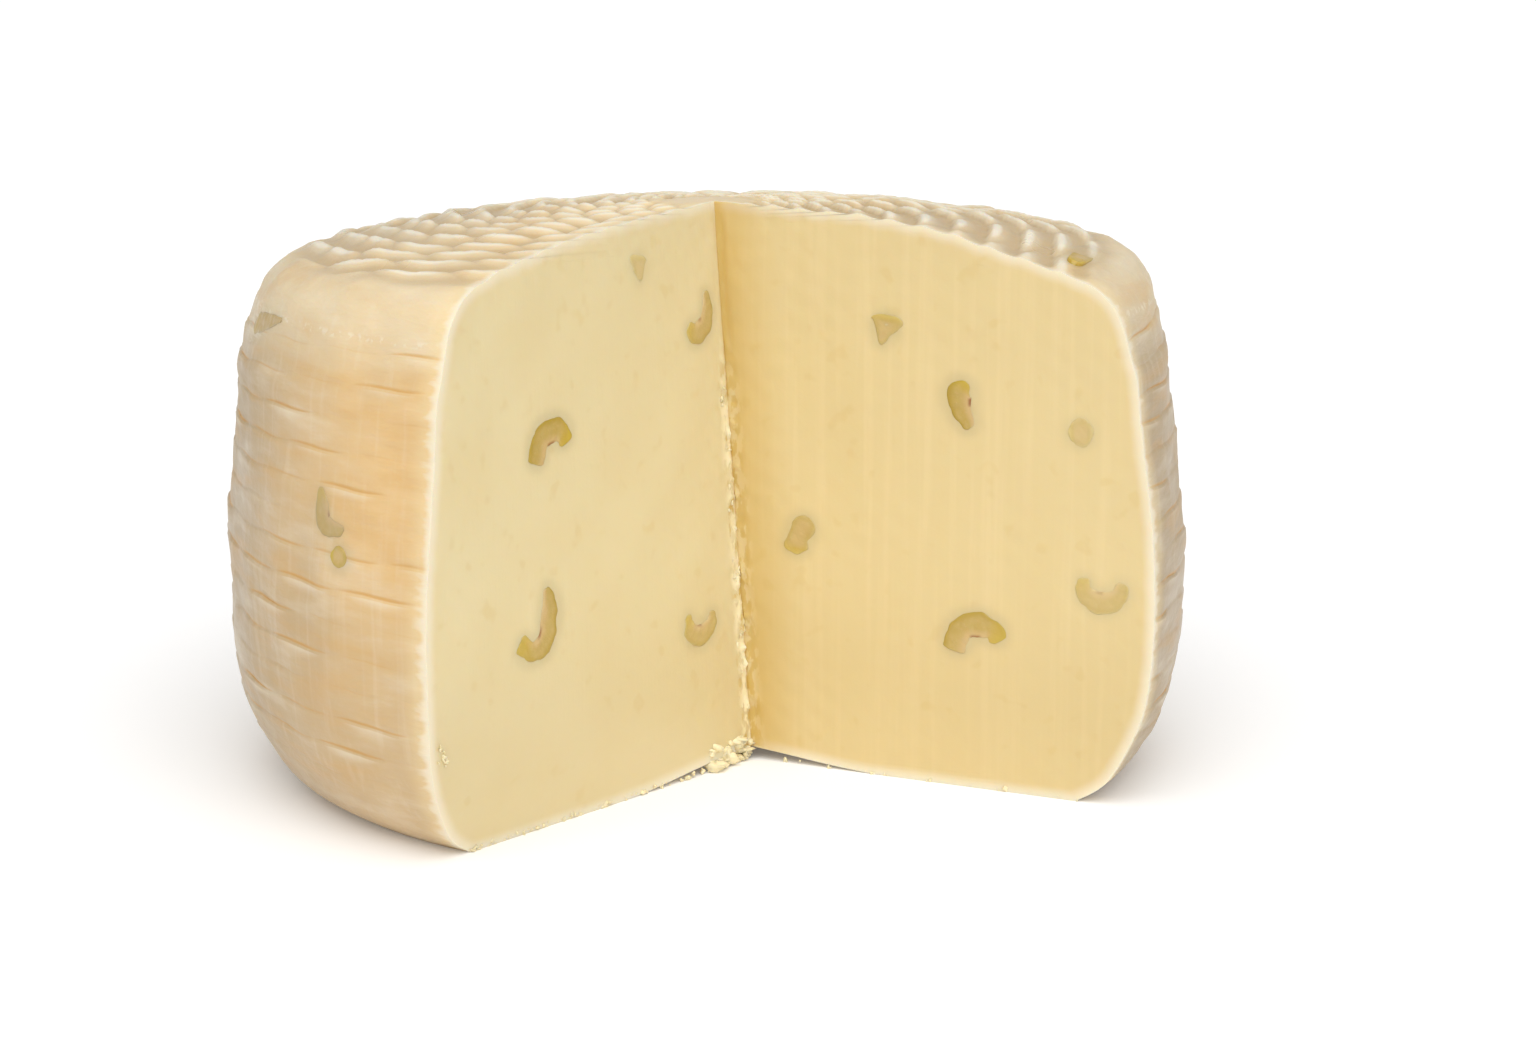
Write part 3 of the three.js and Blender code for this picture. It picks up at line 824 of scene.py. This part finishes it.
def mixed(tree, share, first, second):
    made = node(tree, "ShaderNodeMix", data_type="RGBA", clamp_factor=True)
    feed(tree, made.inputs[0], share)
    feed(tree, made.inputs[6], first)
    feed(tree, made.inputs[7], second)
    return made.outputs[2]


def coated(tree, base, *coats):
    """Colour under coats of other colours, each with its own share, laid on one after the other."""
    for share, coat in coats:
        base = mixed(tree, share, base, coat)
    return base


def product(tree, first, second):
    made = node(tree, "ShaderNodeMath", operation="MULTIPLY")
    feed(tree, made.inputs[0], first)
    feed(tree, made.inputs[1], second)
    return made.outputs[0]


def spread(tree, value, low, high, to_low=0.0, to_high=1.0):
    """Value that runs smoothly from one number to another while the given one runs from low to high."""
    made = node(tree, "ShaderNodeMapRange", interpolation_type="SMOOTHSTEP")
    for socket, number in zip(made.inputs, (value, low, high, to_low, to_high)):
        feed(tree, socket, number)
    return made.outputs[0]


def layer(tree, name):
    return node(tree, "ShaderNodeAttribute", attribute_name=name).outputs["Fac"]


def height_above(tree):
    """Height above the floor, from the piece's own place."""
    apart = node(tree, "ShaderNodeSeparateXYZ")
    feed(tree, apart.inputs[0], node(tree, "ShaderNodeTexCoord").outputs["Object"])
    return apart.outputs["Z"]


def speckle(tree, size, stretch=(1, 1, 1), detail=3.0):
    """Uneven value about 0.5 with patches of one size, on the piece's own place."""
    turned = node(tree, "ShaderNodeMapping")
    feed(tree, turned.inputs["Vector"], node(tree, "ShaderNodeTexCoord").outputs["Object"])
    feed(tree, turned.inputs["Scale"], stretch)
    made = node(tree, "ShaderNodeTexNoise")
    feed(tree, made.inputs["Vector"], turned.outputs[0])
    feed(tree, made.inputs["Scale"], 1 / size)
    feed(tree, made.inputs["Detail"], detail)
    return made.outputs["Fac"]


def raised(tree, height, distance, strength=1.0, below=None):
    made = node(tree, "ShaderNodeBump")
    feed(tree, made.inputs["Strength"], strength)
    feed(tree, made.inputs["Distance"], distance)
    feed(tree, made.inputs["Height"], height)
    if below is not None:
        feed(tree, made.inputs["Normal"], below)
    return made.outputs[0]


def new_material(name):
    material = bpy.data.materials.new(name)
    material.use_nodes = True
    tree = material.node_tree
    return material, tree, tree.nodes["Principled BSDF"]


def soften(shader, weight, scale):
    """Light that sinks in a little way and comes out again, further for red than for blue."""
    shader.inputs["Subsurface Weight"].default_value = weight
    shader.inputs["Subsurface Radius"].default_value = (1.0, 0.65, 0.3)
    shader.inputs["Subsurface Scale"].default_value = scale


def cheese_material(colours):
    """Paste on the cut faces, with a pale rim, painted shade with warm bounce light in the inner corner and
    painted shade towards the foot, and a warm beige woven rind with painted shade away from the left cut,
    towards its foot and in the top's valleys, and painted highlights on its crests.
    """
    material, tree, shader = new_material("cheese_paste_and_rind")
    mottle = speckle(tree, 18 * MM, detail=4.0)
    fine = speckle(tree, 1.6 * MM)
    edge = layer(tree, "edge")
    right = layer(tree, "right")
    inner = layer(tree, "apex")
    level = height_above(tree)
    streaks = speckle(tree, 2.4 * MM, stretch=(1, 1, 0.03))
    shards = speckle(tree, 1.7 * MM, stretch=(1, 1, 0.45))
    teeth = speckle(tree, 2.2 * MM, stretch=(0.3, 0.3, 1))
    ragged = product(tree, edge, spread(tree, teeth, 0.35, 0.65, 0.6, 1.5))
    torn = spread(tree, inner, 1.2, 4.0, 1.0, 0.0)
    torn = product(tree, torn, spread(tree, level, 74 * MM, 90 * MM, 1.0, 0.12))
    torn = product(tree, torn, spread(tree, right, 0.0, 1.0, 1.0, 0.3))
    flecks = speckle(tree, 4.5 * MM, detail=1.0)
    # Painted shade: the paste is darker towards its foot
    low = spread(tree, level, 14 * MM, 50 * MM, 0.14, 0.0)
    paste = coated(
        tree, mixed(tree, right, colours.paste_left, colours.paste_right),
        (spread(tree, mottle, 0.35, 0.7, 0.0, 0.3), colours.paste_right),
        (product(tree, spread(tree, streaks, 0.45, 0.7, 0.0, 0.3), right), colours.lip),
        (spread(tree, flecks, 0.62, 0.76, 0.0, 0.14), colours.corner),
        (low, colours.corner),
        (low, colours.halo),
        (spread(tree, edge, 0.2, 2.8, 0.7, 0.0), colours.rim),
        # Painted shade with warm bounce light: the right face turns darker and orange near the inner corner
        (product(tree, spread(tree, inner, 0.5, 15.0, 0.55, 0.0), right), colours.corner),
        (product(tree, spread(tree, inner, 0.2, 3.0, 0.6, 0.0), right), colours.corner),
        (product(tree, torn, spread(tree, shards, 0.36, 0.44, 0.8, 0.0)), colours.corner),
        (product(tree, torn, spread(tree, shards, 0.47, 0.56, 0.0, 0.95)), colours.crumb),
    )

    dry = speckle(tree, 32 * MM)
    smears = speckle(tree, 5 * MM, stretch=(0.22, 0.22, 1), detail=5.0)
    crown = layer(tree, "crown")
    top = layer(tree, "top")
    nicks = spread(tree, level, 98.6 * MM, 99.4 * MM)
    nicks = product(tree, nicks, spread(tree, level, 99.8 * MM, 100.6 * MM, 1.0, 0.0))
    nicks = product(tree, nicks, spread(tree, fine, 0.52, 0.6, 0.0, 0.4))
    # Painted highlights on the crests of the strands, stronger on the top than on the side
    crest_highlights = product(tree, spread(tree, crown, 0.55, 0.9), spread(tree, top, 0.0, 1.0, 0.4, 0.9))
    rind = coated(
        # Warm rind near the left cut, turning into painted shade, darker and greyer, away from it
        tree, mixed(tree, layer(tree, "warm"), colours.dry_and_shaded_rind, colours.rind),
        (spread(tree, dry, 0.4, 0.7, 0.0, 0.5), colours.dry_and_shaded_rind),
        # Painted shade: the rind is darker towards its foot
        (spread(tree, level, 18 * MM, 70 * MM, 0.45, 0.0), colours.dry_and_shaded_rind),
        (spread(tree, level, 86 * MM, 104 * MM, 0.0, 0.7), colours.crest),
        (spread(tree, smears, 0.32, 0.5, 0.24, 0.0), colours.groove),
        (spread(tree, smears, 0.48, 0.72, 0.0, 0.24), colours.rim),
        (spread(tree, streaks, 0.5, 0.75, 0.0, 0.12), colours.rim),
        # Painted shade in the valleys between the strands on the top
        (product(tree, spread(tree, crown, 0.0, 0.6, 0.68, 0.0), top), colours.valley_shade),
        # Painted highlights on the crests
        (crest_highlights, colours.rim),
        (spread(tree, layer(tree, "groove"), 0.15, 0.8, 0.0, 0.65), colours.groove),
        (nicks, colours.rim),
        (spread(tree, edge, 0.0, 7.0, 0.6, 0.0), colours.lip),
        (spread(tree, ragged, 0.2, 2.4, 0.75, 0.0), colours.rim),
    )
    base = mixed(tree, layer(tree, "rind"), paste, rind)
    base = mixed(tree, spread(tree, layer(tree, "halo"), 0.0, 1.0, 0.0, 0.3), base, colours.halo)
    feed(tree, shader.inputs["Base Color"], base)

    gloss = spread(tree, mottle, 0.3, 0.7, 0.36, 0.5)
    feed(tree, shader.inputs["Roughness"], product(tree, gloss, spread(tree, top, 0.0, 1.0, 1.0, 0.75)))
    grain = raised(tree, speckle(tree, 0.9 * MM, detail=4.0), 0.2 * MM, 0.15)
    streak = raised(tree, speckle(tree, 1.8 * MM, stretch=(1, 1, 0.04)), 0.25 * MM, 0.2, grain)
    wrinkled = product(tree, layer(tree, "rind"), 0.5)
    wrinkles = speckle(tree, 4 * MM, stretch=(0.5, 0.5, 1.4), detail=5.0)
    feed(tree, shader.inputs["Normal"], raised(tree, wrinkles, 1.2 * MM, wrinkled, streak))
    soften(shader, 0.35, 3 * MM)
    return material


def crumb_material(colours):
    """Torn paste, paler than the cut face and grainy."""
    material, tree, shader = new_material("cheese_crumb")
    patch = speckle(tree, 3 * MM)
    base = mixed(tree, spread(tree, patch, 0.4, 0.7, 0.0, 0.7), colours.crumb, colours.paste_left)
    feed(tree, shader.inputs["Base Color"], base)
    feed(tree, shader.inputs["Roughness"], spread(tree, patch, 0.3, 0.7, 0.5, 0.7))
    feed(tree, shader.inputs["Normal"], raised(tree, speckle(tree, 0.6 * MM), 0.2 * MM, 0.4))
    soften(shader, 0.2, 1 * MM)
    return material


def olive_material(name, colours, ground):
    """Olive flesh between a darker skin and a pinkish heart, under a veil of the cheese that it sits in,
    which is thicker towards the piece's edge."""
    material, tree, shader = new_material(name)
    patch = speckle(tree, 2.5 * MM, detail=4.0)
    fibre = speckle(tree, 0.7 * MM)
    across = layer(tree, "across")
    along = layer(tree, "along")
    hollow = product(tree, spread(tree, along, 0.3, 0.42), spread(tree, along, 0.5, 0.62, 1.0, 0.0))
    cover = spread(tree, layer(tree, "rim"), 0.2, 1.0, 1.0, 1.7)
    flesh = coated(
        tree, colours.flesh,
        (spread(tree, patch, 0.3, 0.7, 0.0, 0.4), colours.skin),
        (spread(tree, fibre, 0.5, 0.8, 0.0, 0.3), colours.heart),
        (spread(tree, across, 0.1, 0.5, 0.9, 0.0), colours.heart),
        (spread(tree, across, 0.66, 0.94), colours.skin),
        (spread(tree, along, 0.05, 0.3, 0.8, 0.0), colours.limb),
        (product(tree, spread(tree, across, 0.06, 0.2, 0.9, 0.0), hollow), colours.pit),
        (product(tree, layer(tree, "veil"), cover), ground),
    )
    feed(tree, shader.inputs["Base Color"], flesh)
    feed(tree, shader.inputs["Roughness"], spread(tree, patch, 0.3, 0.7, 0.28, 0.5))
    feed(tree, shader.inputs["Normal"], raised(tree, fibre, 0.2 * MM, 0.4))
    soften(shader, 0.3, 2 * MM)
    return material


class CHEESE_OT_wheel(bpy.types.Operator):
    """Builds the cheese with its woven rind and its two cut faces"""

    bl_idname = "cheese.wheel"
    bl_label = "Cheese Wheel"

    def execute(self, context):
        scene = context.scene
        mesh = cheese_mesh(scene.cheese_sizes)
        place_piece(mesh, cheese_material(scene.cheese_colours), "cheese", "cheese_body")
        return {"FINISHED"}


class CHEESE_OT_olives(bpy.types.Operator):
    """Builds the olive pieces in the cut faces and the rind"""

    bl_idname = "cheese.olives"
    bl_label = "Olive Pieces"

    def execute(self, context):
        scene = context.scene
        colours = scene.cheese_colours
        grounds = {"left": colours.paste_left, "right": colours.paste_right, "rind": colours.dry_and_shaded_rind}
        materials = {
            surface: olive_material("olive_in_" + surface, colours, ground)
            for surface, ground in grounds.items()
        }
        stand = scene.cheese_sizes.olive_stand
        for number, (name, place, stroke, veil) in enumerate(OLIVES):
            seed = OLIVE_SEED + SEEDS_EACH * number
            mesh = olive_mesh(name + "_piece", place, stroke, veil, stand, seed)
            place_piece(mesh, materials[place[0]], "olive", name)
        return {"FINISHED"}


class CHEESE_OT_crumbs(bpy.types.Operator):
    """Strews crumbs along the inner corner and the foot of the cuts"""

    bl_idname = "cheese.crumbs"
    bl_label = "Crumbs"

    def execute(self, context):
        scene = context.scene
        mesh = skin_mesh("cheese_crumbs", crumb_tubes(scene.cheese_sizes.crumbs), {})
        mesh.shade_smooth()
        place_piece(mesh, crumb_material(scene.cheese_colours), "cheese")
        return {"FINISHED"}


class CHEESE_OT_stage(bpy.types.Operator):
    """Sets the floor, the soft lights and the camera"""

    bl_idname = "cheese.stage"
    bl_label = "Stage"

    def execute(self, context):
        scene = context.scene
        mesh = bpy.data.meshes.new("studio_floor")
        corners = [(x * FLOOR_REACH, y * FLOOR_REACH, 0) for x, y in ((-1, -1), (1, -1), (1, 1), (-1, 1))]
        mesh.from_pydata(corners, [], [(0, 1, 2, 3)])
        material, tree, shader = new_material("studio_floor")
        feed(tree, shader.inputs["Base Color"], tuple(scene.cheese_colours.floor))
        feed(tree, shader.inputs["Roughness"], FLOOR_ROUGHNESS)
        feed(tree, shader.inputs["Emission Color"], (1, 1, 1))
        feed(tree, shader.inputs["Emission Strength"], FLOOR_GLOW)
        mesh.materials.append(material)
        floor = bpy.data.objects.new("studio_floor", mesh)
        context.collection.objects.link(floor)

        world = bpy.data.worlds.new("studio")
        world.use_nodes = True
        sky = world.node_tree.nodes["Background"]
        feed(world.node_tree, sky.inputs["Color"], (1, 1, 1))
        feed(world.node_tree, sky.inputs["Strength"], SKY_STRENGTH)
        scene.world = world
        light = bpy.data.lights.new("soft_key", "SUN")
        light.energy = KEY_ENERGY
        light.angle = KEY_SIZE
        lamp = bpy.data.objects.new("soft_key", light)
        towards = Vector((-math.sin(KEY_AZIMUTH), math.cos(KEY_AZIMUTH), -math.tan(KEY_ELEVATION)))
        lamp.rotation_mode = "QUATERNION"
        lamp.rotation_quaternion = towards.to_track_quat("-Z", "Y")
        context.collection.objects.link(lamp)

        camera = bpy.data.cameras.new("photo_camera")
        camera.sensor_width = CAMERA_SENSOR
        camera.lens = CAMERA_LENS
        eye = bpy.data.objects.new("photo_camera", camera)
        eye.location = WHEEL_AXIS + CAMERA_PLACE
        eye.rotation_euler = (math.pi / 2 - CAMERA_DOWN, 0, CAMERA_TURN)
        context.collection.objects.link(eye)
        scene.camera = eye
        scene.view_settings.view_transform = "Standard"
        return {"FINISHED"}


class CHEESE_PT_panel(bpy.types.Panel):
    """Lists the pieces and their settings"""

    bl_label = "Cheese Wheel"
    bl_space_type = "VIEW_3D"
    bl_region_type = "UI"
    bl_category = "Cheese Wheel"

    def draw(self, context):
        for made in OPERATORS:
            self.layout.operator(made.bl_idname)
        for group in (context.scene.cheese_sizes, context.scene.cheese_colours):
            for name in group.__annotations__:
                self.layout.prop(group, name)


OPERATORS = (CHEESE_OT_wheel, CHEESE_OT_olives, CHEESE_OT_crumbs, CHEESE_OT_stage)
CLASSES = (CheeseSizes, CheeseColours, *OPERATORS, CHEESE_PT_panel)


def register():
    for made in CLASSES:
        bpy.utils.register_class(made)
    bpy.types.Scene.cheese_sizes = bpy.props.PointerProperty(type=CheeseSizes)
    bpy.types.Scene.cheese_colours = bpy.props.PointerProperty(type=CheeseColours)


def unregister():
    del bpy.types.Scene.cheese_colours
    del bpy.types.Scene.cheese_sizes
    for made in reversed(CLASSES):
        bpy.utils.unregister_class(made)


def main():
    register()
    bpy.ops.cheese.wheel()
    bpy.ops.cheese.olives()
    bpy.ops.cheese.crumbs()
    bpy.ops.cheese.stage()


if __name__ == "__main__":
    main()
